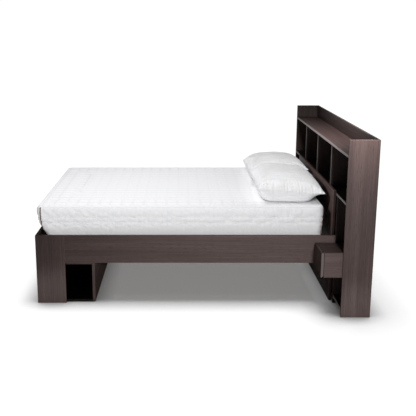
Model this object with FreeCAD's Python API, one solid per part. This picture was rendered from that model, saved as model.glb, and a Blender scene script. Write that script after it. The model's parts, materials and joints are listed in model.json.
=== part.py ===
"""Platform storage bed with a bookcase headboard, two nightstand drawers and a storage box at the foot.

Millimetres. X runs across the bed, Y from the foot to the head and Z up. The origin is on the floor under
the middle of the footprint. Pieces of the right-hand side, at +X, are built and mirrored to the left.
"""
import FreeCAD, Part
import math
import os

Vector = FreeCAD.Vector

# Headboard
headboard_height = 1215.0
headboard_depth = 200.0
board = 18.0
back_board = 15.0
gallery_height = 103.0
cubby_height = 298.0
cubby_count = 4
bay_width = 258.0
bay_shelf_height = 62.0
backrest_thickness = 18.0
backrest_lip = 14.0
backrest_side_gap = 29.0

# Bed frame
bed_length = 2308.0
bed_width = 1658.0
rail_thickness = 25.0
rail_height = 200.0
rail_top = 500.0
post_width = 204.0
footboard_thickness = 18.0

# Steel joint plates across the seams at the rail ends
plate_length = 120.0
plate_sheet = 3.0
plate_gap = 10.0

# Storage box at the foot
foot_box_opening = 187.0
foot_box_board = 18.0

# Slatted platform
platform_recess = 53.0
platform_end_gap = 75.0
slat_count = 14
slat_width = 90.0
slat_thickness = 18.0
slat_end_gap = 2.0
cleat_width = 30.0
cleat_height = 40.0
beam_width = 40.0
hanger_sheet = 3.0
hanger_seat = 60.0
hanger_flange = 35.0
hanger_drop = 40.0

# Nightstand boxes
nightstand_base = 279.0
nightstand_height = 171.0
nightstand_reach = 123.0
nightstand_board = 15.0

# Drawers and their side-mounted slides
drawer_front_thickness = 18.0
drawer_front_gap = 3.0
drawer_rail_gap = 2.0
finger_pull = 12.0
drawer_back_gap = 20.0
drawer_floor_gap = 12.0
drawer_top_gap = 19.0
drawer_side_thickness = 12.0
drawer_bottom_thickness = 6.0
drawer_bottom_raise = 10.0
groove_depth = 6.0
groove_fit = 0.2
slide_space = 12.7
slide_setback = 4.0
slide_height = 35.0
slide_sheet = 1.5
slide_fit = 0.4
slide_tip_gap = 1.2

# Mattress
mattress_side_gap = 38.0
mattress_head_gap = 52.0
mattress_overhang = 16.0
mattress_height = 250.0
mattress_corner = 48.0
mattress_side_draw = 10.0
mattress_foot_draw = 88.0
mattress_swell_height = 190.0
mattress_seam_low = 133.0
mattress_seam_high = 174.0
mattress_seam_width = 16.0
mattress_seam_depth = 5.0
mattress_edge_round = 16.0
mattress_crown = 4.0
mattress_crown_reach = 260.0
swell_steps = 5
roll_steps = 4

# Pillows
pillow_width = 690.0
pillow_length = 480.0
pillow_thickness = 205.0
pillow_seam_height = 90.0
pillow_space = 24.0
pillow_head_gap = 38.0
pillow_side_draw = 16.0
pillow_top_reach = 180.0
pillow_base_reach = 78.0
pillow_steps = 8

# Shared fits
edge_ease = 1.0
soft_clearance = 0.3

# Places worked out from the sizes above
rail_outer = bed_width / 2
rail_inner = rail_outer - rail_thickness
rail_bottom = rail_top - rail_height
end_inner = rail_outer + bay_width
end_outer = end_inner + board
head_back = bed_length / 2
head_front = head_back - headboard_depth
back_face = head_back - back_board
backrest_front = head_front - backrest_thickness
foot_front = -bed_length / 2
footboard_back = foot_front + footboard_thickness
post_edge = foot_front + post_width
foot_wall_near = post_edge + foot_box_opening
foot_wall_far = foot_wall_near + foot_box_board
top_shelf_height = headboard_height - gallery_height
top_shelf_bottom = top_shelf_height - board
long_shelf_height = top_shelf_bottom - cubby_height
long_shelf_bottom = long_shelf_height - board
platform_height = rail_top - platform_recess
slat_bottom = platform_height - slat_thickness
cleat_bottom = slat_bottom - cleat_height
nightstand_top = nightstand_base + nightstand_height
nightstand_front = head_front - nightstand_reach
mattress_base = platform_height + soft_clearance
mattress_top = mattress_base + mattress_height


def box(x0, x1, y0, y1, z0, z1):
    """A plain block between two corners."""
    return Part.makeBox(x1 - x0, y1 - y0, z1 - z0, Vector(x0, y0, z0))


def panel(x0, x1, y0, y1, z0, z1):
    """A board with eased edges."""
    blank = box(x0, x1, y0, y1, z0, z1)
    thinnest = min(x1 - x0, y1 - y0, z1 - z0)
    return blank.makeChamfer(min(edge_ease, thinnest / 4), blank.Edges)


def mirrored(shape):
    """The same piece on the other side of the bed."""
    return shape.mirror(Vector(0, 0, 0), Vector(1, 0, 0))


def save(name, *shapes):
    """Writes one node, of one solid or of a group of identical ones."""
    shape = shapes[0] if len(shapes) == 1 else Part.makeCompound(list(shapes))
    shape.exportStep(os.path.join("parts", name + ".step"))


def save_pair(name, *shapes):
    """Writes a right-hand node and its mirror image."""
    save("right_" + name, *shapes)
    save("left_" + name, *[mirrored(shape) for shape in shapes])


def headboard():
    """The bookcase: end panels, back, shelves, dividers, uprights and the backrest."""
    save_pair("headboard_end", panel(end_inner, end_outer, head_front, head_back, 0, headboard_height))
    save("headboard_back", panel(-end_inner, end_inner, back_face, head_back, 0, headboard_height))
    save("headboard_top_shelf",
         panel(-end_inner, end_inner, head_front, back_face, top_shelf_bottom, top_shelf_height))
    save("headboard_long_shelf",
         panel(-end_inner, end_inner, head_front, back_face, long_shelf_bottom, long_shelf_height))

    cubby_width = (2 * end_inner - (cubby_count - 1) * board) / cubby_count
    for number in range(1, cubby_count):
        left = -end_inner + number * cubby_width + (number - 1) * board
        divider = panel(left, left + board, head_front, back_face, long_shelf_height, top_shelf_bottom)
        save("cubby_divider_%d" % number, divider)

    bay_bottom = bay_shelf_height - board
    half_rib = board / 2
    half_rest = rail_inner - backrest_side_gap
    rest_top = long_shelf_height + backrest_lip
    save_pair("headboard_upright", panel(rail_inner, rail_outer, head_front, back_face, 0, long_shelf_bottom))
    save_pair("bay_shelf", panel(rail_outer, end_inner, head_front, back_face, bay_bottom, bay_shelf_height))
    save("headboard_bottom_board",
         panel(-rail_inner, rail_inner, head_front, back_face, bay_bottom, bay_shelf_height))
    save("headboard_centre_rib",
         panel(-half_rib, half_rib, head_front, back_face, bay_shelf_height, long_shelf_bottom))
    save("backrest_panel", panel(-half_rest, half_rest, backrest_front, head_front, 0, rest_top))


def bed_frame():
    """Rails, foot posts and footboard, with the steel plates inside that join them."""
    save_pair("side_rail", panel(rail_inner, rail_outer, post_edge, head_front, rail_bottom, rail_top))
    save_pair("foot_post", panel(rail_inner, rail_outer, foot_front, post_edge, 0, rail_top))
    save("footboard", panel(-rail_inner, rail_inner, foot_front, footboard_back, 0, rail_top))

    plates = []
    for seam in (head_front, post_edge):
        near, far = seam - plate_length / 2, seam + plate_length / 2
        low, high = rail_bottom + plate_gap, cleat_bottom - plate_gap
        plate = panel(rail_inner - plate_sheet, rail_inner, near, far, low, high)
        plates += [plate, mirrored(plate)]
    save("rail_joint_plates", *plates)


def foot_box():
    """The storage box between the foot posts, open at both sides of the bed beside the posts."""
    ceiling = rail_bottom - foot_box_board
    half = foot_box_board / 2
    save("foot_box_top", panel(-rail_inner, rail_inner, footboard_back, foot_wall_far, ceiling, rail_bottom))
    save("foot_box_floor", panel(-rail_inner, rail_inner, footboard_back, foot_wall_near, 0, foot_box_board))
    save("foot_box_wall", panel(-rail_inner, rail_inner, foot_wall_near, foot_wall_far, 0, ceiling))
    save("foot_box_divider", panel(-half, half, footboard_back, foot_wall_near, foot_box_board, ceiling))


def platform():
    """Slats on cleats along the rails and on a deep centre beam that stands on the foot box."""
    cleat_edge = rail_inner - cleat_width
    beam_end = backrest_front - hanger_sheet
    beam_half = beam_width / 2
    first = footboard_back + platform_end_gap
    last = backrest_front - platform_end_gap
    save_pair("rail_cleat", panel(cleat_edge, rail_inner, first, last, cleat_bottom, slat_bottom))
    save("centre_beam", panel(-beam_half, beam_half, footboard_back, beam_end, rail_bottom, slat_bottom))
    save("beam_hanger", beam_hanger(beam_end, beam_half))

    slat_reach = rail_inner - slat_end_gap
    pitch = (last - first - slat_width) / (slat_count - 1)
    slats = []
    for number in range(slat_count):
        near = first + number * pitch
        slats.append(panel(-slat_reach, slat_reach, near, near + slat_width, slat_bottom, platform_height))
    save("slats", *slats)


def beam_hanger(beam_end, beam_half):
    """A folded steel saddle: a plate on the backrest, with a seat and two cheeks around the beam's end."""
    top = slat_bottom - hanger_drop
    bottom = rail_bottom - hanger_sheet
    outer = beam_half + hanger_sheet
    back = box(-outer - hanger_flange, outer + hanger_flange, beam_end, backrest_front, bottom, top)
    seat = box(-outer, outer, beam_end - hanger_seat, beam_end, bottom, rail_bottom)
    cheek = box(beam_half, outer, beam_end - hanger_seat, beam_end, rail_bottom, top)
    return back.fuse([seat, cheek, mirrored(cheek)]).removeSplitter()


def nightstands():
    """A box in each side bay, carried by the end panel, the upright and the rail, with its drawer."""
    inner = rail_outer + nightstand_board
    outer = end_inner - nightstand_board
    low = nightstand_base + nightstand_board
    high = nightstand_top - nightstand_board
    save_pair("nightstand_inner_side",
              panel(rail_outer, inner, nightstand_front, back_face, nightstand_base, nightstand_top))
    save_pair("nightstand_outer_side",
              panel(outer, end_inner, nightstand_front, back_face, nightstand_base, nightstand_top))
    save_pair("nightstand_top", panel(inner, outer, nightstand_front, back_face, high, nightstand_top))
    save_pair("nightstand_bottom", panel(inner, outer, nightstand_front, back_face, nightstand_base, low))
    drawers(inner, outer, low + drawer_floor_gap, high - drawer_top_gap)


def drawers(inner, outer, low, high):
    """An overlay-front drawer with a grooved bottom, on a pair of channel slides, between two heights."""
    front_back = nightstand_front - drawer_front_gap
    front_face = front_back - drawer_front_thickness
    back = back_face - drawer_back_gap
    left, right = inner + slide_space, outer - slide_space
    wall = drawer_side_thickness

    tray_low = low + drawer_bottom_raise
    tray_high = tray_low + drawer_bottom_thickness
    reach = groove_depth - groove_fit
    tray_left, tray_right = left + wall - reach, right - wall + reach
    tray_front, tray_back = front_back - reach, back - wall + reach
    tray = box(tray_left, tray_right, tray_front, tray_back, tray_low, tray_high)
    groove = box(tray_left - groove_fit, tray_right + groove_fit, tray_front - groove_fit,
                 tray_back + groove_fit, tray_low - groove_fit, tray_high + groove_fit)

    front = panel(rail_outer + drawer_rail_gap, end_inner, front_face, front_back,
                  nightstand_base, nightstand_top)
    save_pair("drawer_front", front.cut(groove).cut(finger_bevel(front_back)))
    save_pair("drawer_inner_side", panel(left, left + wall, front_back, back, low, high).cut(groove))
    save_pair("drawer_outer_side", panel(right - wall, right, front_back, back, low, high).cut(groove))
    save_pair("drawer_back", panel(left + wall, right - wall, back - wall, back, low, high).cut(groove))
    save_pair("drawer_bottom", tray)

    slide_start = nightstand_front + slide_setback
    middle = (low + high) / 2
    nested = slide_height - 2 * (slide_sheet + slide_fit)
    save_pair("drawer_runners", channel(inner, 1, slide_height, slide_start, back, middle),
              channel(outer, -1, slide_height, slide_start, back, middle))
    save_pair("drawer_slides", channel(left, -1, nested, slide_start, back, middle),
              channel(right, 1, nested, slide_start, back, middle))


def finger_bevel(front_back):
    """The wedge that bevels the lower back edge of a drawer front, as a pull for the fingers."""
    corner = Vector(rail_outer, front_back, nightstand_base)
    forward = corner - Vector(0, finger_pull, 0)
    upward = corner + Vector(0, 0, finger_pull)
    wedge = Part.Face(Part.makePolygon([corner, forward, upward, corner]))
    return wedge.extrude(Vector(end_inner - rail_outer, 0, 0))


def channel(web_x, side, height, start, end, middle):
    """A C channel along Y: its web on the plane X = web_x, its flanges reaching towards side."""
    outer = height / 2
    inner = outer - slide_sheet
    tip = slide_space - slide_sheet - slide_tip_gap
    outline = [(0, -outer), (tip, -outer), (tip, -inner), (slide_sheet, -inner), (slide_sheet, inner),
               (tip, inner), (tip, outer), (0, outer), (0, -outer)]
    points = [Vector(web_x + side * reach, start, middle + z) for reach, z in outline]
    return Part.Face(Part.makePolygon(points)).extrude(Vector(0, end - start, 0))


def rounded_outline(half_x, foot, head, z):
    """The outline of the mattress at one height: a rectangle with rounded corners, as one wire."""
    round_off = mattress_corner
    slant = round_off * (1 - math.cos(math.radians(45)))
    corners = []
    for sx, sy, end in ((1, -1, foot), (1, 1, head), (-1, 1, head), (-1, -1, foot)):
        on_side = Vector(sx * half_x, end - sy * round_off, z)
        on_end = Vector(sx * (half_x - round_off), end, z)
        bend = Vector(sx * (half_x - slant), end - sy * slant, z)
        first, last = (on_end, on_side) if sx * sy < 0 else (on_side, on_end)
        corners.append((first, bend, last))
    edges = []
    for number, (first, bend, last) in enumerate(corners):
        following = corners[(number + 1) % len(corners)][0]
        edges.append(Part.Arc(first, bend, last).toShape())
        edges.append(Part.LineSegment(last, following).toShape())
    return Part.Wire(edges)


def mattress_levels():
    """Heights, each with the share of the draw at the base that is left there and with its own inset."""
    wall = mattress_height - mattress_crown - mattress_edge_round

    def level(height, inset=0.0):
        below = max(0.0, 1 - height / mattress_swell_height)
        return height, below ** 2, inset

    levels = [level(mattress_swell_height * step / swell_steps) for step in range(swell_steps + 1)]
    for seam in (mattress_seam_low, mattress_seam_high):
        levels += [level(seam - mattress_seam_width / 2), level(seam, mattress_seam_depth)]
        levels.append(level(seam + mattress_seam_width / 2))
    for step in range(roll_steps + 1):
        turn = math.radians(90 * step / roll_steps)
        inset = mattress_edge_round * (1 - math.cos(turn))
        levels.append(level(wall + mattress_edge_round * math.sin(turn), inset))
    levels.append(level(mattress_height, mattress_crown_reach))
    return sorted(levels)


def mattress():
    """A quilted mattress on the slats, two seams around its sides, swelling over the top of the footboard."""
    half = rail_inner - mattress_side_gap
    foot = footboard_back - mattress_overhang
    head = backrest_front - mattress_head_gap
    wires = []
    for height, share, inset in mattress_levels():
        side_inset = inset + share * mattress_side_draw
        foot_inset = inset + share * mattress_foot_draw
        wires.append(rounded_outline(half - side_inset, foot + foot_inset, head - side_inset,
                                     mattress_base + height))
    save("mattress", Part.makeLoft(wires, True, True))


def bowed_edge(first, last, rise):
    """A flat arc from first to last with its middle moved by rise, or a straight edge where rise is nil."""
    if rise.Length < 0.1:
        return Part.LineSegment(first, last).toShape()
    return Part.Arc(first, (first + last) / 2 + rise, last).toShape()


def pillow_outline(half_x, half_y, bow, centre, z):
    """Four bowed edges between the corners of a pillow at one height; a negative bow draws the sides in."""
    corners = [(1, -1), (1, 1), (-1, 1), (-1, -1)]
    edges = []
    for number, (sx, sy) in enumerate(corners):
        nx, ny = corners[(number + 1) % len(corners)]
        first = centre + Vector(sx * half_x, sy * half_y, z)
        last = centre + Vector(nx * half_x, ny * half_y, z)
        outwards = Vector((sx + nx) / 2, (sy + ny) / 2, 0)
        edges.append(bowed_edge(first, last, outwards * bow))
    return Part.Wire(edges)


def pillow_half(centre, rise, reach):
    """One half of a pillow: a lens from the pointed seam to a small flat, rise above it or below it."""
    wires = []
    for step in range(pillow_steps + 1):
        row = step / pillow_steps
        inset = row * reach
        bow = pillow_side_draw * (2 * row - 1)
        height = pillow_seam_height + rise * (1 - (1 - row) ** 2)
        wires.append(pillow_outline(pillow_width / 2 - inset, pillow_length / 2 - inset, bow, centre, height))
    return Part.makeLoft(wires, True, True)


def pillows():
    """Two plump pillows side by side, their sides drawn in between pointed corners at the seam."""
    middle = backrest_front - pillow_head_gap - pillow_length / 2
    centre = Vector((pillow_width + pillow_space) / 2, middle, mattress_top + soft_clearance)
    upper = pillow_half(centre, pillow_thickness - pillow_seam_height, pillow_top_reach)
    lower = pillow_half(centre, -pillow_seam_height, pillow_base_reach)
    save_pair("pillow", upper.fuse(lower))


os.makedirs("parts", exist_ok=True)
headboard()
bed_frame()
foot_box()
platform()
nightstands()
mattress()
pillows()
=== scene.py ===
# %% [markdown]
# # A platform storage bed
# The bed is a set of dark laminated boards: a bookcase headboard with open cubbies, two rails, a storage box
# at the foot and a small drawer box in each side bay. A white quilted mattress and two pillows lie on it.
# The boards come from the CAD model and stay exactly where they are. This lesson gives them their finish,
# sews and fills the soft goods, and adds the small fasteners.

# %% Load the frame
import json
import math

import bmesh
import bpy
from mathutils import Matrix, Vector, noise


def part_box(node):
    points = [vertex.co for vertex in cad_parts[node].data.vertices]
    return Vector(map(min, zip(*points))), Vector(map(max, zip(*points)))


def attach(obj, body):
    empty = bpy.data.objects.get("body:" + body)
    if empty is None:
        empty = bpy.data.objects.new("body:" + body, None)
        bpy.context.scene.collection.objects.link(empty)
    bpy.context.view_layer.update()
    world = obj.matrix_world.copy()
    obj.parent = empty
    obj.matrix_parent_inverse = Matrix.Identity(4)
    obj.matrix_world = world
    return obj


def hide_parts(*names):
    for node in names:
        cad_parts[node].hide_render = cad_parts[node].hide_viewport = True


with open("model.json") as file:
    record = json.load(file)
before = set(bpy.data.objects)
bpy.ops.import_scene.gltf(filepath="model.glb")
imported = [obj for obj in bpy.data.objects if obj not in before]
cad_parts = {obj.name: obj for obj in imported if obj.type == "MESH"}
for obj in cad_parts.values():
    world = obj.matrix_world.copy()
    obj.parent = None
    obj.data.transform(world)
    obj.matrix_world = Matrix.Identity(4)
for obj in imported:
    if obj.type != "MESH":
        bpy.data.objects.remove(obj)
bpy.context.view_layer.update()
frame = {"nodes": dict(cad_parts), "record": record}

scene = bpy.context.scene
nodes = frame["nodes"]

# %% [markdown]
# ## Where the photographer stood
# The photograph looks straight across the bed from its right-hand side, a little from above. Upright boards
# lean towards each other at the bottom, so the camera is tilted down, and the long lines of the headboard
# run to a point left of the picture's middle, so the lens is shifted sideways. The tilt, the shift, the
# lens and the distance were fitted to the corners of the boards. The picture is square, 416 pixels a side.

# %% Camera
picture_width = 416.0
focal_pixels = 736.2
axis_pixel = 181.7
tilt_down = 0.2384
camera_place = (5.7937, -0.1249, 1.9056)

lens = bpy.data.cameras.new("photo_lens")
lens.sensor_width = 36.0
lens.lens = lens.sensor_width * focal_pixels / picture_width
lens.shift_x = 0.5 - axis_pixel / picture_width
camera = bpy.data.objects.new("photo_camera", lens)
camera.location = camera_place
camera.rotation_euler = (math.pi / 2 - tilt_down, 0, math.pi / 2)
bpy.context.collection.objects.link(camera)
scene.camera = camera
print("lens %.1f mm, shift %.3f" % (lens.lens, lens.shift_x))

# %% [markdown]
# ## Small tools for meshes and shaders
# Every piece below is a mesh at the origin with its place in its vertices, as the CAD boards are. Shaders
# are short chains of nodes, so one helper makes a node, sets it up and fills in its sockets.

# %% Helpers


def link_object(name, mesh):
    """Puts a mesh into the scene as an object at the origin."""
    made = bpy.data.objects.new(name, mesh)
    bpy.context.collection.objects.link(made)
    return made


def mesh_object(name, bm, smooth=False):
    """Turns a finished bmesh into an object."""
    mesh = bpy.data.meshes.new(name)
    bm.to_mesh(mesh)
    bm.free()
    mesh.polygons.foreach_set("use_smooth", [smooth] * len(mesh.polygons))
    return link_object(name, mesh)


def add_node(tree, kind, sockets=None, **settings):
    """A shader node with its settings and the values of its sockets."""
    node = tree.nodes.new("ShaderNode" + kind)
    for setting, value in settings.items():
        setattr(node, setting, value)
    for socket, value in (sockets or {}).items():
        node.inputs[socket].default_value = value
    return node


def start_material(name, **shader_values):
    """A material, its node tree and its main shader, whose plain sockets are given by name."""
    paint = bpy.data.materials.new(name)
    paint.use_nodes = True
    shader = paint.node_tree.nodes["Principled BSDF"]
    for socket, value in shader_values.items():
        shader.inputs[socket.replace("_", " ")].default_value = value
    return paint, paint.node_tree, shader


def dress(piece, paint):
    """Gives a piece one material."""
    piece.data.materials.clear()
    piece.data.materials.append(paint)


print("helpers ready")

# %% [markdown]
# ## A pale studio
# The bed stands on a white floor that runs into a white background, with a soft grey shadow under it. The
# floor glows a little, so that its shadow is a light grey and not black. Close to the bed, ambient occlusion
# darkens the floor's colour and its glow, a painted contact shade. A white floor would also throw a lot of
# light up into the dark shelves. The photograph shows them almost black, so the floor and the sky are white
# only where the camera looks straight at them and much dimmer for light on its way elsewhere.

# %% Floor and sky
scene.view_settings.view_transform = "Standard"
floor_reach = 60.0
floor_white = (0.84, 0.84, 0.84, 1)
floor_glow = 0.20
floor_bounce = (0.50, 0.50, 0.50, 1)
painted_shade_reach = 0.15
sky_white = 1.05
sky_fill = 0.05


def for_camera(tree, seen, otherwise, output):
    """Shows one shader to the camera and another to all other rays."""
    path = add_node(tree, "LightPath")
    choice = add_node(tree, "MixShader")
    tree.links.new(path.outputs["Is Camera Ray"], choice.inputs["Fac"])
    tree.links.new(otherwise, choice.inputs[1])
    tree.links.new(seen, choice.inputs[2])
    tree.links.new(choice.outputs["Shader"], tree.nodes[output].inputs["Surface"])


bm = bmesh.new()
bmesh.ops.create_grid(bm, x_segments=1, y_segments=1, size=floor_reach)
floor = mesh_object("studio_floor", bm)
floor_paint, tree, shader = start_material("studio_floor", Roughness=0.9, Specular_IOR_Level=0.0,
                                           Emission_Strength=floor_glow)
# Ambient occlusion darkens the floor's colour and glow near the bed: painted contact shade.
floor_contact_shade = add_node(tree, "AmbientOcclusion", {"Distance": painted_shade_reach, "Color": floor_white})
glow_contact_shade = add_node(tree, "AmbientOcclusion", {"Distance": painted_shade_reach})
tree.links.new(floor_contact_shade.outputs["Color"], shader.inputs["Base Color"])
tree.links.new(glow_contact_shade.outputs["Color"], shader.inputs["Emission Color"])
dim = add_node(tree, "BsdfDiffuse", {"Color": floor_bounce})
for_camera(tree, shader.outputs["BSDF"], dim.outputs["BSDF"], "Material Output")
dress(floor, floor_paint)

sky = bpy.data.worlds.new("studio_sky")
sky.use_nodes = True
scene.world = sky
tree = sky.node_tree
fill = tree.nodes["Background"]
fill.inputs["Color"].default_value = (1, 1, 1, 1)
fill.inputs["Strength"].default_value = sky_fill
backdrop = add_node(tree, "Background", {"Color": (1, 1, 1, 1), "Strength": sky_white})
for_camera(tree, backdrop.outputs["Background"], fill.outputs["Background"], "World Output")
print("floor and sky ready")

# %% [markdown]
# ## Espresso laminate
# The boards are chipboard under a printed foil: a dark brown wood grain with long streaks, broader soft
# bands and short dark pores, all along the length of the board. Noise that is stretched in one direction
# gives each of the three. The corners of every board are eased by a millimetre, and faces that look along no
# axis get a painted highlight, a little lighter, where the foil would catch the light. That is how the edges
# are found. The front faces of the shelves and dividers and the sides of the drawer fronts get a paler
# painted highlight as well.

# %% Grain tools
grain_axes = "XYZ"
flat_face, eased_face = 0.97, 0.80


def stretched_noise(tree, vector, along, length, width, detail):
    """Noise whose spots are length long in the direction of the grain and width across it."""
    scale = [1 / width] * 3
    scale[grain_axes.index(along)] = 1 / length
    mapping = add_node(tree, "Mapping", {"Scale": scale})
    spots = add_node(tree, "TexNoise", {"Scale": 1.0, "Detail": detail, "Roughness": 0.6})
    tree.links.new(vector, mapping.inputs["Vector"])
    tree.links.new(mapping.outputs["Vector"], spots.inputs["Vector"])
    return spots.outputs["Fac"]


def remap(tree, value, low, high, to_low=0.0, to_high=1.0):
    """A value between low and high, spread between to_low and to_high."""
    sockets = {"From Min": low, "From Max": high, "To Min": to_low, "To Max": to_high}
    node = add_node(tree, "MapRange", sockets)
    tree.links.new(value, node.inputs["Value"])
    return node.outputs["Result"]


def calculate(tree, operation, *values):
    """One Math node on its values, each a socket or a number."""
    node = add_node(tree, "Math", operation=operation)
    for socket, value in zip(node.inputs, values):
        if isinstance(value, (int, float)):
            socket.default_value = value
        else:
            tree.links.new(value, socket)
    return node.outputs["Value"]


def weigh(tree, first, second, share):
    """The first value times its share, plus the second one times the rest."""
    return calculate(tree, "MULTIPLY_ADD", first, share, calculate(tree, "MULTIPLY", second, 1 - share))


def ramp(tree, value, *stops):
    """A colour ramp; each stop is a place from 0 to 1 and a colour."""
    node = add_node(tree, "ValToRGB")
    band = node.color_ramp
    while len(band.elements) < len(stops):
        band.elements.new(0.5)
    for element, (place, colour) in zip(band.elements, stops):
        element.position = place
        element.color = (*colour, 1)
    tree.links.new(value, node.inputs["Fac"])
    return node.outputs["Color"]


def blend_colour(tree, share, first, second):
    """The first colour, painted over by the second where share is 1."""
    node = add_node(tree, "Mix", data_type="RGBA")
    tree.links.new(share, node.inputs["Factor"])
    for socket, colour in ((node.inputs[6], first), (node.inputs[7], second)):
        if isinstance(colour, tuple):
            socket.default_value = (*colour, 1)
        else:
            tree.links.new(colour, socket)
    return node.outputs[2]


def eased_edges(tree):
    """1 on the slanted faces of eased corners and 0 on faces that look along an axis."""
    surface = add_node(tree, "NewGeometry")
    size = add_node(tree, "VectorMath", operation="ABSOLUTE")
    parts = add_node(tree, "SeparateXYZ")
    tree.links.new(surface.outputs["True Normal"], size.inputs[0])
    tree.links.new(size.outputs["Vector"], parts.inputs["Vector"])
    widest = calculate(tree, "MAXIMUM", parts.outputs["X"], parts.outputs["Y"])
    widest = calculate(tree, "MAXIMUM", widest, parts.outputs["Z"])
    return remap(tree, widest, flat_face, eased_face)


def rough_and_bumped(tree, shader, roughness, height, depth, strength):
    """Links a roughness value and a height value, depth metres deep, to the shader."""
    bump = add_node(tree, "Bump", {"Distance": depth, "Strength": strength})
    tree.links.new(height, bump.inputs["Height"])
    tree.links.new(bump.outputs["Normal"], shader.inputs["Normal"])
    tree.links.new(roughness, shader.inputs["Roughness"])


print("grain tools ready")

# %% Espresso boards
espresso_dark = (0.0353, 0.0208, 0.0186)
espresso_mid = (0.0510, 0.0315, 0.0287)
espresso_light = (0.0677, 0.0442, 0.0405)
espresso_pore = (0.022, 0.0125, 0.0110)
# The edge colour is a painted highlight on the eased corners of the boards.
espresso_edge_highlight = (0.110, 0.080, 0.074)
# The two bands are painted highlights: paler front faces of shelves and dividers, paler sides of drawer
# fronts.
front_highlight = (0.34, 0.30, 0.29)
drawer_side_highlight = (0.068, 0.053, 0.050)
highlight_from, highlight_full = 0.5, 0.8
# Length, width and detail of the spots in each layer of the print
streak_spots = (0.50, 0.006, 5.0)
band_spots = (1.40, 0.060, 2.0)
pore_spots = (0.060, 0.0016, 1.0)
bands_share = 0.45
foil_depth, foil_bump = 0.0003, 0.25


def facing(tree, axis, low, high):
    """1 on faces whose normal has a part along the axis beyond high, 0 below low."""
    surface = add_node(tree, "NewGeometry")
    parts = add_node(tree, "SeparateXYZ")
    tree.links.new(surface.outputs["True Normal"], parts.inputs["Vector"])
    return remap(tree, parts.outputs[axis], low, high)


def espresso_laminate(along, band=""):
    """Dark printed grain along one axis under a satin skin, with a painted highlight on eased corners; the
    band is a painted highlight on the front faces or the outer sides.
    """
    paint, tree, shader = start_material("espresso_laminate_" + along + band, Specular_IOR_Level=0.3)
    place = add_node(tree, "TexCoord").outputs["Object"]
    streaks = stretched_noise(tree, place, along, *streak_spots)
    bands = stretched_noise(tree, place, along, *band_spots)
    pores = stretched_noise(tree, place, along, *pore_spots)
    tone = weigh(tree, bands, streaks, bands_share)
    colour = ramp(tree, tone, (0.36, espresso_dark), (0.50, espresso_mid), (0.64, espresso_light))
    pitted = remap(tree, pores, 0.60, 0.68)
    colour = blend_colour(tree, pitted, colour, espresso_pore)
    # Painted highlight on the eased corners.
    colour = blend_colour(tree, eased_edges(tree), colour, espresso_edge_highlight)
    # Painted highlights on the front faces and on the outer sides of the drawer fronts.
    if band == "_front":
        colour = blend_colour(tree, facing(tree, "Y", -highlight_from, -highlight_full), colour, front_highlight)
    if band == "_outer":
        colour = blend_colour(tree, facing(tree, "X", highlight_from, highlight_full), colour, drawer_side_highlight)
        colour = blend_colour(tree, facing(tree, "X", -highlight_from, -highlight_full), colour, drawer_side_highlight)
    tree.links.new(colour, shader.inputs["Base Color"])
    height = calculate(tree, "SUBTRACT", streaks, pitted)
    roughness = remap(tree, tone, 0.35, 0.65, 0.58, 0.46)
    rough_and_bumped(tree, shader, roughness, height, foil_depth, foil_bump)
    return paint


lengthways = ["side_rail", "nightstand_inner_side", "nightstand_outer_side", "nightstand_top",
              "nightstand_bottom", "foot_box_divider"]
upright = ["headboard_end", "headboard_upright", "headboard_centre_rib", "cubby_divider", "foot_post"]
pale_fronts = ["_shelf", "cubby_divider"]
kinds = ["X", "Y", "Z", "X_front", "Z_front", "X_outer"]
laminates = {kind: espresso_laminate(kind[0], kind[1:]) for kind in kinds}
slots = {part["node"]: part["material_slot"] for part in frame["record"]["subparts"]}


def kind_of(name):
    """The axis that the grain of a board follows, the board's long way on the real bed, and its painted
    highlight band.
    """
    if "drawer_front" in name:
        return "X_outer"
    if any(word in name for word in pale_fronts):
        return "Z_front" if "divider" in name else "X_front"
    if any(word in name for word in upright):
        return "Z"
    if any(word in name for word in lengthways):
        return "Y"
    return "X"


boards = [name for name, slot in slots.items() if slot == "espresso_laminate"]
for name in boards:
    dress(nodes[name], laminates[kind_of(name)])
print("laminated boards:", len(boards))

# %% [markdown]
# ## Pine, drawer board and zinc
# The slats, their cleats and the centre beam are planed pine, pale with warmer late-wood lines. The drawer
# boxes are thin laminated board with a faint linen print. Runners, plates and the beam hanger are rolled
# steel under zinc, brushed along their length, so their gloss is drawn out into fine lines.

# %% Pine
pine_pale = (0.60, 0.42, 0.25)
pine_warm = (0.46, 0.28, 0.14)
# The edge colour is a painted highlight on the eased corners.
pine_edge_highlight = (0.66, 0.48, 0.30)
line_spots = (0.90, 0.012, 4.0)
fibre_spots = (0.12, 0.0012, 2.0)
fibres_share = 0.25


def planed_pine(along):
    """Pale softwood with warm growth lines along one axis and a painted highlight on its eased corners."""
    paint, tree, shader = start_material("planed_pine_" + along)
    place = add_node(tree, "TexCoord").outputs["Object"]
    lines = stretched_noise(tree, place, along, *line_spots)
    fibres = stretched_noise(tree, place, along, *fibre_spots)
    tone = weigh(tree, fibres, lines, fibres_share)
    colour = ramp(tree, tone, (0.40, pine_pale), (0.60, pine_warm))
    # Painted highlight on the eased corners.
    colour = blend_colour(tree, eased_edges(tree), colour, pine_edge_highlight)
    tree.links.new(colour, shader.inputs["Base Color"])
    rough_and_bumped(tree, shader, remap(tree, fibres, 0.3, 0.7, 0.62, 0.74), tone, 0.0004, 0.3)
    return paint


dress(nodes["slats"], planed_pine("X"))
pine_lengthways = planed_pine("Y")
for name in ("left_rail_cleat", "right_rail_cleat", "centre_beam"):
    dress(nodes[name], pine_lengthways)
print("pine:", [name for name, slot in slots.items() if slot == "pine"])

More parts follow.
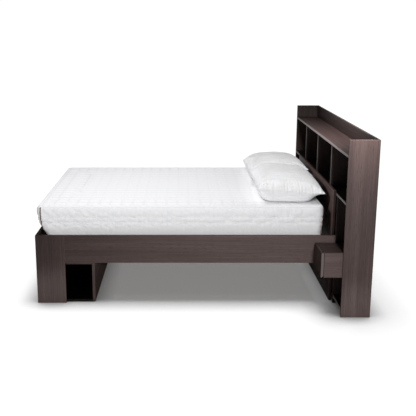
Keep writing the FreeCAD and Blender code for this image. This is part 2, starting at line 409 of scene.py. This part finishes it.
# %% Drawer board and zinc
linen_dark = (0.13, 0.10, 0.085)
linen_light = (0.21, 0.17, 0.15)
zinc_dark = (0.42, 0.43, 0.45)
zinc_light = (0.66, 0.67, 0.69)
linen_spots = (0.05, 0.0014, 2.0)
rolling_spots = (0.20, 0.0008, 3.0)
bloom_spots = (0.03, 0.020, 3.0)


def drawer_board():
    """Laminated board with a faint linen print: two sets of crossed threads; its eased corners take the
    light thread colour as a painted highlight.
    """
    paint, tree, shader = start_material("drawer_board")
    place = add_node(tree, "TexCoord").outputs["Object"]
    warp = stretched_noise(tree, place, "Y", *linen_spots)
    weft = stretched_noise(tree, place, "Z", *linen_spots)
    threads = calculate(tree, "MULTIPLY", warp, weft)
    colour = ramp(tree, threads, (0.15, linen_dark), (0.40, linen_light))
    # The eased corners get the light thread colour as a painted highlight.
    tree.links.new(blend_colour(tree, eased_edges(tree), colour, linen_light), shader.inputs["Base Color"])
    rough_and_bumped(tree, shader, remap(tree, threads, 0.1, 0.4, 0.65, 0.5), threads, 0.0002, 0.3)
    return paint


def zinc_steel():
    """Zinc-plated sheet with fine rolling lines."""
    paint, tree, shader = start_material("zinc_steel", Metallic=1.0)
    place = add_node(tree, "TexCoord").outputs["Object"]
    lines = stretched_noise(tree, place, "Y", *rolling_spots)
    bloom = stretched_noise(tree, place, "Y", *bloom_spots)
    tone = calculate(tree, "MULTIPLY", calculate(tree, "ADD", lines, bloom), 0.5)
    tree.links.new(ramp(tree, tone, (0.35, zinc_dark), (0.65, zinc_light)), shader.inputs["Base Color"])
    rough_and_bumped(tree, shader, remap(tree, tone, 0.3, 0.7, 0.45, 0.28), lines, 0.0001, 0.2)
    return paint


box_board = drawer_board()
zinc = zinc_steel()
for name, slot in slots.items():
    if slot == "drawer_board":
        dress(nodes[name], box_board)
    if slot == "zinc_steel":
        dress(nodes[name], zinc)
print("drawer boards and steel dressed")

# %% [markdown]
# ## How a cover is filled
# A mattress is a cover of cloth round a soft filling, and a cloth simulation can fill it. The cover gets a
# little slack, pressure pushes it out from inside, and wherever it is sewn down it stays put, so that it
# puffs up and puckers between the stitches by itself. A cap on the travel of each point keeps the cover
# inside the space that it has on the bed, and also keeps one run of the simulation like the next.

# %% Filling tools


def bake_modifiers(piece):
    """Makes what the modifiers do part of the mesh, with all its attributes."""
    graph = bpy.context.evaluated_depsgraph_get()
    evaluated = piece.evaluated_get(graph)
    baked = bpy.data.meshes.new_from_object(evaluated, preserve_all_data_layers=True, depsgraph=graph)
    piece.modifiers.clear()
    piece.data = baked


def fill_cover(piece, pressure, frames, slack, bending, sewn, swelling):
    """Simulates the cover under inner pressure; sewn and swelling name vertex groups."""
    modifier = piece.modifiers.new("filling", "CLOTH")
    cloth = modifier.settings
    cloth.quality = 5
    cloth.mass = 0.15
    cloth.air_damping = 2.0
    cloth.tension_stiffness = 30.0
    cloth.compression_stiffness = 30.0
    cloth.shear_stiffness = 12.0
    cloth.bending_stiffness = bending
    cloth.shrink_min = -slack
    cloth.use_pressure = True
    cloth.uniform_pressure_force = pressure
    cloth.vertex_group_pressure = swelling
    cloth.vertex_group_mass = sewn
    cloth.effector_weights.gravity = 0
    modifier.collision_settings.use_collision = False
    for frame_number in range(1, frames + 1):
        scene.frame_set(frame_number)
    bake_modifiers(piece)
    scene.frame_set(1)


def cap_travel(piece, start, limit):
    """Pulls each point back to within limit of where it started."""
    farthest = 0.0
    for vert, first in zip(piece.data.vertices, start):
        travel = vert.co - first
        farthest = max(farthest, travel.length)
        if travel.length > limit:
            vert.co = first + travel * (limit / travel.length)
    return farthest


print("filling tools ready")

# %% [markdown]
# ## The quilted mattress
# The top is quilted in small squares, its edge is stiff, and two wavy seams run round the side with a puffed
# band between them. The form is a copy of the CAD mattress, drawn in by the height of the puffs and covered
# with an even skin of small squares by a voxel remesh. Its points lie half a voxel off the round numbers, so
# stitch lines with a whole number of voxels between them each catch one row of points. Towards the foot the
# side is crumpled: noise whose lower half is folded up gives small domes with sharp creases between them.

# %% Mattress skin
mattress_low, mattress_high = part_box("mattress")
voxel = 0.010
puff = 0.004
top_puff = 0.0015

bm = bmesh.new()
bm.from_mesh(nodes["mattress"].data)
bmesh.ops.remove_doubles(bm, verts=bm.verts, dist=1e-5)
bm.normal_update()
for vert in bm.verts:
    vert.co -= vert.normal * Vector((puff, puff, top_puff))
mattress = mesh_object("quilted_mattress", bm)
remesh = mattress.modifiers.new("skin", "REMESH")
remesh.mode = "VOXEL"
remesh.voxel_size = voxel
bake_modifiers(mattress)
print("mattress skin:", len(mattress.data.vertices), "points")

# %% Wavy seams
seam_rows = ((0.585, 0.5805), (0.625, 0.6215))
seam_reach = 0.040
wave_height = 0.008
wave_length = 0.060
seam_ease = 0.003
foot_ease_share = 0.4
side_face = 0.35
top_face = 0.90


def wave_along(vert, seam):
    """How far a seam wanders up or down beside a point of the side."""
    return wave_height * noise.noise((vert.co.x / wave_length, vert.co.y / wave_length, 100 * seam))


def ease_at(vert):
    """How far a seam is let out: a little at the foot and fully towards the smoother head."""
    share = (vert.co.y - mattress_low.y) / (mattress_high.y - mattress_low.y)
    return seam_ease * min(1.0, foot_ease_share + share)


normals = [vert.normal.copy() for vert in mattress.data.vertices]
on_side = {index for index, normal in enumerate(normals) if abs(normal.z) < side_face}
on_top = {index for index, normal in enumerate(normals) if normal.z > top_face}
on_seam = set()
for index in on_side:
    vert = mattress.data.vertices[index]
    height, lift = vert.co.z, 0.0
    for row, seam in seam_rows:
        lift += max(0.0, 1 - abs(height - row) / seam_reach) * (seam + wave_along(vert, seam) - row)
        if abs(height - row) < voxel / 4:
            on_seam.add(index)
    vert.co.z = height + lift
    if index in on_seam:
        vert.co += normals[index] * ease_at(vert)
print("points on the seams:", len(on_seam))

# %% Crumpled side
crumple_height = 0.022
crumple_most = 0.006
crumple_in = 0.003
crumple_size = 0.040
crumple_fade = 1.0
above_rail = 0.02
crumple_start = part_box("right_side_rail")[1].z + above_rail


def crumple(vert):
    """How far a puff of the side stands out: small domes with creases between them, most at the foot."""
    dome = abs(noise.noise(vert.co / crumple_size))
    height = min(crumple_most, crumple_height * dome)
    return (height - crumple_in) * math.exp((mattress_low.y - vert.co.y) / crumple_fade)


for index in on_side - on_seam:
    vert = mattress.data.vertices[index]
    if vert.co.z > crumple_start:
        vert.co += normals[index] * crumple(vert)
print("crumpled above %.3f m" % crumple_start)

# %% Stitches
stitch_pitch = 8 * voxel
hidden_hem = mattress_low.z + 0.035
top_swelling = 0.60


def off_line(value, pitch):
    """How far a coordinate is from the nearest line of a row of parallel lines."""
    value = value - voxel / 2
    return abs(value - pitch * round(value / pitch))


def is_sewn(vert):
    """Whether something holds this point: the hidden hem, the stiff edge, a seam or a stitch of a square."""
    if vert.co.z < hidden_hem or vert.index in on_seam:
        return True
    if vert.index in on_top:
        return min(off_line(vert.co.x, stitch_pitch), off_line(vert.co.y, stitch_pitch)) < voxel / 3
    return vert.index not in on_side


sewn = mattress.vertex_groups.new(name="sewn")
swelling = mattress.vertex_groups.new(name="swelling")
stitched = [vert.index for vert in mattress.data.vertices if is_sewn(vert)]
swelling.add(list(range(len(mattress.data.vertices))), 1.0, "REPLACE")
swelling.add(list(on_top), top_swelling, "REPLACE")
sewn.add(stitched, 1.0, "REPLACE")
print("stitched points:", len(stitched))

# %% Fill the mattress
filling = {"pressure": 3.0, "frames": 8, "slack": 0.018, "bending": 0.05}
most_travel = 0.0035
hair = 1e-6

skin_start = [vert.co.copy() for vert in mattress.data.vertices]
fill_cover(mattress, sewn="sewn", swelling="swelling", **filling)
print("mattress points moved up to %.1f mm" % (1000 * cap_travel(mattress, skin_start, most_travel)))
brought_back = 0
for vert in mattress.data.vertices:
    inside = [min(max(vert.co[axis], mattress_low[axis]), mattress_high[axis]) for axis in range(3)]
    brought_back += (vert.co - Vector(inside)).length > hair
    vert.co = inside
print("points brought back into the mattress's space:", brought_back)
mattress.data.polygons.foreach_set("use_smooth", [True] * len(mattress.data.polygons))
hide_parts("mattress")
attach(mattress, "mattress")

# %% [markdown]
# ## White ticking
# The cover is a white knit with fine ribs. Seen close there are ribs across the mattress, soft slubs, and
# small upright gathers beside the seams of the side; from a step away only a matt white with a cool tint is
# left. The stitch lines of the squares and the roll between top and side are greyed with painted shade. All
# of it lies on the object's own coordinates, so it stays in place when the mattress is lifted.

# %% Ticking
ticking_white = (0.80, 0.80, 0.812)
ticking_shade = (0.69, 0.69, 0.706)
ticking_painted_shade = (0.59, 0.59, 0.613)
rib_pitch = 0.009
# The length of one wave of the texture at a scale of 1
wave_unit = 0.314
slub_spots = (0.030, 0.006, 3.0)
gather_spots = (0.060, 0.010, 2.0)
slubs_share = 0.6
lengthways_line, cross_line = 0.50, 0.12
stitch_fade = 0.010
quilt_from, quilt_full = 0.80, 0.95
roll_shade_share = 0.8
band_middle = 0.601
gather_reach, gather_height = 0.093, 3.0
ticking_depth, ticking_bump = 0.0014, 0.6


def stitch_lines(tree, parts):
    """1 on the lines of the quilted squares, fading out beside them, on faces that look up."""
    near = []
    for axis, strength in (("X", lengthways_line), ("Y", cross_line)):
        shifted = calculate(tree, "SUBTRACT", parts.outputs[axis], voxel / 2)
        off = calculate(tree, "PINGPONG", shifted, stitch_pitch / 2)
        near.append(remap(tree, off, 0.0, stitch_fade, strength, 0.0))
    quilted = facing(tree, "Z", quilt_from, quilt_full)
    return calculate(tree, "MULTIPLY", calculate(tree, "MAXIMUM", *near), quilted)


def painted_roll_shade(tree):
    """Light on the roll between top and side, where painted shade greys the cloth to hold back its
    highlight; black elsewhere.
    """
    up = facing(tree, "Z", 0.0, 1.0)
    black, light = (0, 0, 0), (roll_shade_share,) * 3
    return ramp(tree, up, (0.30, black), (0.62, light), (0.80, light), (0.99, black))


def white_ticking():
    """Ribbed white knit with a soft sheen, gathered along the seams of the side."""
    paint, tree, shader = start_material("mattress_ticking", Sheen_Weight=0.15, Sheen_Roughness=0.5,
                                         Specular_IOR_Level=0.2)
    place = add_node(tree, "TexCoord").outputs["Object"]
    wave = {"Scale": wave_unit / rib_pitch, "Distortion": 0.6, "Detail": 1.0}
    ribs = add_node(tree, "TexWave", wave, bands_direction="Y")
    tree.links.new(place, ribs.inputs["Vector"])
    slubs = stretched_noise(tree, place, "X", *slub_spots)
    gathers = stretched_noise(tree, place, "Z", *gather_spots)
    parts = add_node(tree, "SeparateXYZ")
    tree.links.new(place, parts.inputs["Vector"])
    from_band = calculate(tree, "ABSOLUTE", calculate(tree, "SUBTRACT", parts.outputs["Z"], band_middle))
    gathered = remap(tree, from_band, 0.0, gather_reach, gather_height, 0.0)
    gathers = calculate(tree, "MULTIPLY", gathers, gathered)
    cloth = weigh(tree, slubs, ribs.outputs["Fac"], slubs_share)
    lines = stitch_lines(tree, parts)
    colour = ramp(tree, cloth, (0.2, ticking_shade), (0.6, ticking_white))
    # Painted shade darkens the stitch lines of the quilted squares.
    colour = blend_colour(tree, lines, colour, ticking_painted_shade)
    # Painted shade on the roll between top and side.
    tree.links.new(blend_colour(tree, painted_roll_shade(tree), colour, ticking_painted_shade), shader.inputs["Base Color"])
    height = calculate(tree, "SUBTRACT", calculate(tree, "ADD", cloth, gathers), lines)
    roughness = remap(tree, cloth, 0.2, 0.8, 0.9, 0.75)
    rough_and_bumped(tree, shader, roughness, height, ticking_depth, ticking_bump)
    return paint


dress(mattress, white_ticking())
print("mattress dressed")

# %% [markdown]
# ## Corner tapes
# Where the panels of the side meet at the corners, a narrow dark tape covers the upright seam. A tape is a
# strip of a grid, stood up outside its corner. A ray from each point finds the filled mattress, and the
# point moves there and a little out again. So the strip follows every puff, and a solidify gives it a
# thickness.

# %% Tapes
tape_width = 0.009
tape_lift = 0.0025
foot_turn, head_turn = math.radians(64), math.radians(28)
tape_low, tape_high = mattress_low.z + 0.010, mattress_high.z - 0.012
tape_rows = 60
corner_reach = 0.052
ray_start = 0.2
thread_spots = (0.0016, 0.006, 2.0)
tape_brown = (0.10, 0.070, 0.056)
tape_thread = (0.17, 0.125, 0.105)


def tape_strip(bm, sx, sy):
    """One strip on the corner that sx and sy point to."""
    strip = bmesh.ops.create_grid(bm, x_segments=3, y_segments=tape_rows, size=0.5)["verts"]
    turn = head_turn if sy > 0 else foot_turn
    out = Vector((sx * math.sin(turn), sy * math.cos(turn), 0))
    across = Vector((-out.y, out.x, 0))
    corner = Vector((sx * (mattress_high.x - corner_reach), 0, 0))
    corner.y = mattress_high.y - corner_reach if sy > 0 else mattress_low.y + corner_reach
    for vert in strip:
        height = tape_low + (vert.co.y + 0.5) * (tape_high - tape_low)
        start = corner + out * ray_start + across * (vert.co.x * tape_width) + Vector((0, 0, height))
        place = mattress.ray_cast(start, -out)[1]
        vert.co = place + out * tape_lift


def woven_tape():
    """Dark woven tape with fine threads across it."""
    paint, tree, shader = start_material("corner_tape")
    place = add_node(tree, "TexCoord").outputs["Object"]
    threads = stretched_noise(tree, place, "Z", *thread_spots)
    colour = ramp(tree, threads, (0.35, tape_brown), (0.65, tape_thread))
    tree.links.new(colour, shader.inputs["Base Color"])
    rough_and_bumped(tree, shader, remap(tree, threads, 0.3, 0.7, 0.9, 0.7), threads, 0.0004, 0.5)
    return paint


bm = bmesh.new()
bpy.context.view_layer.update()
for sx in (1, -1):
    for sy in (1, -1):
        tape_strip(bm, sx, sy)
bmesh.ops.solidify(bm, geom=bm.faces[:], thickness=tape_lift)
bmesh.ops.recalc_face_normals(bm, faces=bm.faces)
tapes = mesh_object("mattress_corner_tapes", bm, smooth=True)
dress(tapes, woven_tape())
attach(tapes, "mattress")
print("corner tapes:", len(tapes.data.polygons), "faces")

# %% [markdown]
# ## Two pillows
# A pillow is two flat rectangles of cotton sewn together along their edges and stuffed. A thin flat shell
# stands for the two panels. Stuffing lifts them apart, most in the middle, and pulls the seams in between
# pointed corners. Along the seams the cloth is gathered into small folds that fade out on the way to the
# middle, and the seam itself stands out as a lip. A cloth simulation could do this too, but it folds
# differently in every run, and these folds are so small that noise along the seam gives the same look.
# A pillow at rest is squashed flat where it lies on the mattress. Towards the head its corners hold less
# stuffing, so they stand off the mattress as flat ears.

# %% Sew the pillows
pillow_cell = 0.006
pillow_seam = 0.005
seam_lip = 0.006
stuffing = 0.10
stuffing_edge = 0.56
end_power, side_power = 3.4, 3.0
end_pull, side_pull = 0.022, 0.040
lump_share, lumps_per_metre = 0.12, 6
fold_width, fold_height, fold_reach = 0.011, 0.0065, 0.055
fold_stretch, fine_fold_stretch = 4, 3
fine_folds, fine_fold_share = 1.9, 0.6
wrinkle_width, wrinkle_length, wrinkle_height = 0.018, 0.090, 0.0035
# Each kind of unevenness has its own layer of noise
fine_fold_layer, end_layer, side_layer, wrinkle_layer = 7, 20, 40, 60
lower_share = 0.2
at_seam = 0.999


def sewn_shell(name, width, length):
    """Two flat panels joined by a thin seam."""
    bm = bmesh.new()
    across, along = round(width / pillow_cell), round(length / pillow_cell)
    bmesh.ops.create_grid(bm, x_segments=across, y_segments=along, size=0.5)
    bmesh.ops.scale(bm, vec=(width, length, 1), verts=bm.verts)
    bmesh.ops.solidify(bm, geom=bm.faces[:], thickness=pillow_seam)
    bmesh.ops.recalc_face_normals(bm, faces=bm.faces)
    return mesh_object(name, bm, smooth=True)


def folds(along, off, seed):
    """The height of the small folds at a place along a seam and a distance off it."""
    broad = noise.noise((along / fold_width, off / (fold_stretch * fold_width), seed))
    fine = noise.noise((along / fold_width * fine_folds, off / (fine_fold_stretch * fold_width),
                        seed + fine_fold_layer))
    return fold_height * (broad + fine_fold_share * fine) * math.exp(-off / fold_reach)


def wrinkles(x, y, seed):
    """The height of the long soft wrinkles of the top, which run with the short side of the pillow."""
    return wrinkle_height * noise.noise((x / wrinkle_width, y / wrinkle_length, seed + wrinkle_layer))


def stuff(shell, width, length, seed):
    """Lifts the panels apart, pulls the seams in and pinches them to a lip, and lays folds along them."""
    middle = sum(vert.co.z for vert in shell.data.vertices) / len(shell.data.vertices)
    ripples = []
    for vert in shell.data.vertices:
        x, y = vert.co.x, vert.co.y
        u, v = abs(2 * x / width), abs(2 * y / length)
        ends, sides = max(0.0, 1 - u ** end_power), max(0.0, 1 - v ** side_power)
        lump = 1 + lump_share * noise.noise((lumps_per_metre * x, lumps_per_metre * y, seed))
        vert.co.z += math.copysign(stuffing * lump * (ends * sides) ** stuffing_edge, vert.co.z - middle)
        vert.co.x = x * (1 - end_pull * (1 - v * v) * u * u)
        vert.co.y = y * (1 - side_pull * (1 - u * u) * v * v)
        end_folds = folds(y, width / 2 - abs(x), seed + math.copysign(end_layer, x))
        side_folds = folds(x, length / 2 - abs(y), seed + math.copysign(side_layer, y))
        ripples.append(end_folds + side_folds + wrinkles(x, y, seed))
        if u > at_seam:
            vert.co.x += math.copysign(seam_lip, x)
        if v > at_seam:
            vert.co.y += math.copysign(seam_lip, y)
    shell.data.update()
    normals = [vert.normal.copy() for vert in shell.data.vertices]
    for vert, normal, ripple in zip(shell.data.vertices, normals, ripples):
        vert.co += normal * (ripple if normal.z > 0 else lower_share * ripple)


print("a pillow seam of %.0f mm with a lip of %.0f mm" % (1000 * pillow_seam, 1000 * seam_lip))

# %% Lay a pillow down
seam_share = 0.44
squash = 2.1
ear_lift = 0.80
ear_start, ear_end = 0.25, 0.95
soft_press = 0.018
top_press = soft_press / 3


def press(height, limit, soft):
    """Eases a height towards a limit below it and never lets it through."""
    start = limit + soft
    if height >= start:
        return height
    return limit + soft * math.exp((height - start) / soft)


def squash_at(y):
    """How much the lower panel is squashed out; less towards the head, where the pillow ends in ears."""
    share = min(1.0, max(0.0, (y - ear_start) / (ear_end - ear_start)))
    return squash * (1 - ear_lift * share * share * (3 - 2 * share))


def lay_in_box(piece, low, high, droop, sag, crown):
    """Brings a stuffed pillow to its box: it droops along the bed, sags across it and is squashed below."""
    verts = piece.data.vertices
    least = Vector([min(vert.co[axis] for vert in verts) for axis in range(3)])
    most = Vector([max(vert.co[axis] for vert in verts) for axis in range(3)])
    middle, half = (least + most) / 2, (most - least) / 2
    room = (high - low) / 2
    below = 2 * room.z * seam_share
    above = (2 * room.z - below) * crown
    for vert in verts:
        x, y, z = [(vert.co[axis] - middle[axis]) / half[axis] for axis in range(3)]
        z = z * (above if z > 0 else below * squash_at(y))
        z -= droop * y + sag * x
        z = press(z, -below, soft_press)
        z = -press(-z, below - 2 * room.z, top_press)
        vert.co = ((low.x + high.x) / 2 + x * room.x, (low.y + high.y) / 2 + y * room.y, low.z + below + z)


def make_pillow(side, seed, droop, sag, crown):
    """One pillow on its side of the bed."""
    node = side + "_pillow"
    low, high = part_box(node)
    width, length = high.x - low.x, high.y - low.y
    pillow = sewn_shell(side + "_cotton_pillow", width, length)
    stuff(pillow, width, length, seed)
    lay_in_box(pillow, low, high, droop, sag, crown)
    pillow.data.polygons.foreach_set("use_smooth", [True] * len(pillow.data.polygons))
    rounder = pillow.modifiers.new("rounder", "SUBSURF")
    rounder.levels = rounder.render_levels = 1
    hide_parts(node)
    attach(pillow, node)
    return pillow


pillows = [make_pillow("right", seed=14.0, droop=0.020, sag=0.0, crown=1.0),
           make_pillow("left", seed=5.0, droop=0.0, sag=-0.020, crown=0.90)]
print("pillows:", [len(pillow.data.vertices) for pillow in pillows], "points")

# %% Cotton
cotton_white = (0.79, 0.79, 0.80)
cotton_weave_and_crease_shade = (0.70, 0.70, 0.712)
weave_spots = (0.020, 0.0016, 2.0)
crease_spots = (0.110, 0.020, 3.0)
crumple_spots = (0.030, 0.012, 4.0)
weave_share, crumple_share, crease_share = 0.1, 0.6, 0.5
cotton_depth, cotton_bump = 0.010, 1.0


def white_cotton():
    """Plain white cotton: a fine cross weave and soft creases that run with the short side; the creases also
    darken its colour as painted shade.
    """
    paint, tree, shader = start_material("pillow_cotton", Sheen_Weight=0.2, Sheen_Roughness=0.4,
                                         Specular_IOR_Level=0.2)
    place = add_node(tree, "TexCoord").outputs["Object"]
    warp = stretched_noise(tree, place, "X", *weave_spots)
    weft = stretched_noise(tree, place, "Y", *weave_spots)
    creases = stretched_noise(tree, place, "Y", *crease_spots)
    crumples = stretched_noise(tree, place, "Y", *crumple_spots)
    weave = calculate(tree, "MULTIPLY", calculate(tree, "ADD", warp, weft), weave_share)
    creases = calculate(tree, "ADD", creases, calculate(tree, "MULTIPLY", crumples, crumple_share))
    cloth = calculate(tree, "ADD", weave, calculate(tree, "MULTIPLY", creases, crease_share))
    # The weave's tone is the cloth's own; the creases darken the colour as painted shade.
    colour = ramp(tree, cloth, (0.32, cotton_weave_and_crease_shade), (0.52, cotton_white))
    tree.links.new(colour, shader.inputs["Base Color"])
    roughness = remap(tree, weave, 0.05, 0.15, 0.9, 0.75)
    rough_and_bumped(tree, shader, roughness, cloth, cotton_depth, cotton_bump)
    return paint


cotton = white_cotton()
for pillow in pillows:
    dress(pillow, cotton)
print("pillows dressed")

# %% [markdown]
# ## Screws
# Steel plates join the rails to the posts and uprights, a folded hanger carries the centre beam, and the
# thin back of the bookcase is screwed to its shelves. The screws are small and all alike, so one function
# makes a head and a list of places makes a set of them. A head is a short cone whose top is inset and pushed
# down into a socket.

# %% Screw heads
head_radius = 0.0045
head_height = 0.0022
head_sides = 12
head_taper = 0.8
socket_rim, socket_depth = 0.35, 0.6


def screw_head(bm, place, out, radius=head_radius, height=head_height):
    """One head that stands on place and points out of the board."""
    turn = Vector((0, 0, 1)).rotation_difference(Vector(out)).to_matrix().to_4x4()
    pose = Matrix.Translation(Vector(place) + Vector(out) * (height / 2)) @ turn
    made = bmesh.ops.create_cone(bm, cap_ends=True, segments=head_sides, radius1=radius,
                                 radius2=radius * head_taper, depth=height, matrix=pose)
    top = max({face for vert in made["verts"] for face in vert.link_faces},
              key=lambda face: face.calc_center_median().dot(Vector(out)))
    bmesh.ops.inset_individual(bm, faces=[top], thickness=radius * socket_rim)
    bmesh.ops.translate(bm, verts=top.verts, vec=Vector(out) * (-height * socket_depth))


def screw_set(name, places, out, **size):
    """All the screws of one fitting as one piece of the bed frame."""
    bm = bmesh.new()
    for place in places:
        screw_head(bm, place, out, **size)
    made = mesh_object(name, bm)
    dress(made, zinc)
    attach(made, "bed_frame")
    print(name, len(places))
    return made


print("a screw head is %.1f mm wide" % (2000 * head_radius))

# %% Screws in their places
plate_length, plate_thickness = 0.120, 0.003
plate_inset = 0.018
plate_steps = (0.020, 0.045, 0.075, 0.100)
hanger_columns, hanger_rows = (-0.041, 0.041), (0.316, 0.343, 0.370)
back_inset, back_columns = 0.06, 11
back_rows = (0.053, 0.787, 1.103)

plate_low, plate_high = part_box("rail_joint_plates")
heights = (plate_low.z + plate_inset, plate_high.z - plate_inset)
ends = (plate_low.y, plate_high.y - plate_length)
rows = [end + step for end in ends for step in plate_steps]
plate_face = plate_high.x - plate_thickness
right_places = [(plate_face, y, z) for y in rows for z in heights]
left_places = [(-plate_face, y, z) for y in rows for z in heights]
hanger_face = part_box("beam_hanger")[1].y - plate_thickness
hanger_places = [(x, hanger_face, z) for x in hanger_columns for z in hanger_rows]
back_low, back_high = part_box("headboard_back")
back_step = (back_high.x - back_low.x - 2 * back_inset) / (back_columns - 1)
columns = [back_low.x + back_inset + back_step * column for column in range(back_columns)]
back_places = [(x, back_high.y, z) for x in columns for z in back_rows]
screws = [screw_set("right_plate_screws", right_places, (-1, 0, 0)),
          screw_set("left_plate_screws", left_places, (1, 0, 0)),
          screw_set("hanger_screws", hanger_places, (0, -1, 0)),
          screw_set("back_panel_screws", back_places, (0, 1, 0), radius=0.004, height=0.0006)]

# %% [markdown]
# ## Lights
# A studio lights each subject by itself, with screens to keep the light off the rest. Here a lamp is linked
# to the objects that it may light. A wide sun almost overhead draws the soft shadow on the floor. A key lamp
# near the headboard lights the boards, so they fade towards the foot. Small spots lift the top shelf, the
# backrest, the end panel and the foot posts, which are lighter in the photograph. The white cloth has lamps
# of its own: from above, from the camera's side, and from below for the pillows' lower panels. Only the
# pillows themselves cast shadows in that last lamp's light.

# %% Lamp tools
soft_nodes = ("mattress", "left_pillow", "right_pillow")
boards_lit = [piece for name, piece in nodes.items() if name not in soft_nodes] + screws
cloth_lit = [mattress, tapes, *pillows]


def group_of(name, pieces):
    """A collection that only a lamp uses."""
    group = bpy.data.collections.new(name)
    for piece in pieces:
        group.objects.link(piece)
    return group


def add_light(name, kind, place, aim, subjects, screens=None, **settings):
    """A lamp that shines from place at aim on its subjects; screens, if given, alone cast shadows."""
    data = bpy.data.lights.new(name, kind)
    for setting, value in settings.items():
        setattr(data, setting, value)
    lamp = bpy.data.objects.new(name, data)
    lamp.location = place
    lamp.rotation_euler = (Vector(aim) - Vector(place)).to_track_quat("-Z", "Y").to_euler()
    bpy.context.collection.objects.link(lamp)
    lamp.light_linking.receiver_collection = group_of(name + "_subjects", subjects)
    if screens:
        lamp.light_linking.blocker_collection = group_of(name + "_screens", screens)


def add_spot(name, place, aim, subjects, energy, spot_size, soft_size):
    """A spot with a soft rim."""
    add_light(name, "SPOT", place, aim, subjects, energy=energy, spot_size=spot_size, spot_blend=1.0,
              shadow_soft_size=soft_size)


def boards_with(*words):
    """The boards whose names have one of the words."""
    return [nodes[name] for name in boards if any(word in name for word in words)]


print("subjects:", len(boards_lit), "boards and fittings,", len(cloth_lit), "of cloth")

# %% Lamps
key_place, key_aim, key_size, key_soft = (4.6, 1.0, 1.6), (0.9, 0.30, 0.10), 0.87, 0.2
off_key = boards_with("foot_box_floor", "headboard_upright", "backrest", "right_headboard_end")
key_lit = [piece for piece in boards_lit if piece not in off_key]
top_lit = boards_with("left_headboard_end", "headboard_back", "top_shelf")
end_lit = boards_with("right_headboard_end")
add_light("floor_sun", "SUN", (-0.55, 0, 6), (0, 0, 0), [floor], energy=3.1, angle=0.70)
add_spot("board_key", key_place, key_aim, key_lit, 755, key_size, key_soft)
add_spot("shelf_spot", (1.8, 0.60, 3.2), (0.2, 1.05, 1.15), top_lit, 850, 0.60, 0.3)
add_spot("backrest_spot", (1.5, -1.0, 2.2), (0.2, 0.94, 0.80), boards_with("backrest"), 380, 0.7, 0.1)
add_spot("end_key", key_place, key_aim, end_lit, 545, key_size, key_soft)
add_spot("end_spot", (1.5, 1.0, 1.75), (1.1, 1.05, 1.35), end_lit, 105, 1.05, 0.1)
add_spot("end_low_spot", (1.75, 1.05, 0.05), (1.1, 1.05, 0.03), end_lit, 6, 0.8, 0.05)
add_spot("post_spot", (1.5, -1.2, 0.05), (0.83, -1.05, 0.03), boards_with("foot_post"), 6, 0.8, 0.05)
everything = boards_lit + cloth_lit
add_light("back_fill", "AREA", (-4.0, 4.5, 2.6), (0, 0.4, 0.6), everything, energy=160, size=3.0)
add_light("cloth_top", "AREA", (0.3, -0.9, 3.6), (0.1, 0, 0.7), [mattress, tapes], energy=83, size=2.0)
add_light("pillow_fill", "AREA", (0.4, -3.0, -0.6), (0.4, 0.7, 0.72), pillows, pillows, energy=50, size=1.5)
add_light("pillow_top", "AREA", (0.3, -0.2, 3.6), (0.3, 0.7, 0.8), pillows, energy=52, size=2.0)
add_light("cloth_front", "AREA", (5.4, -0.2, 2.9), (0, 0, 0.7), cloth_lit, energy=225, size=2.0)
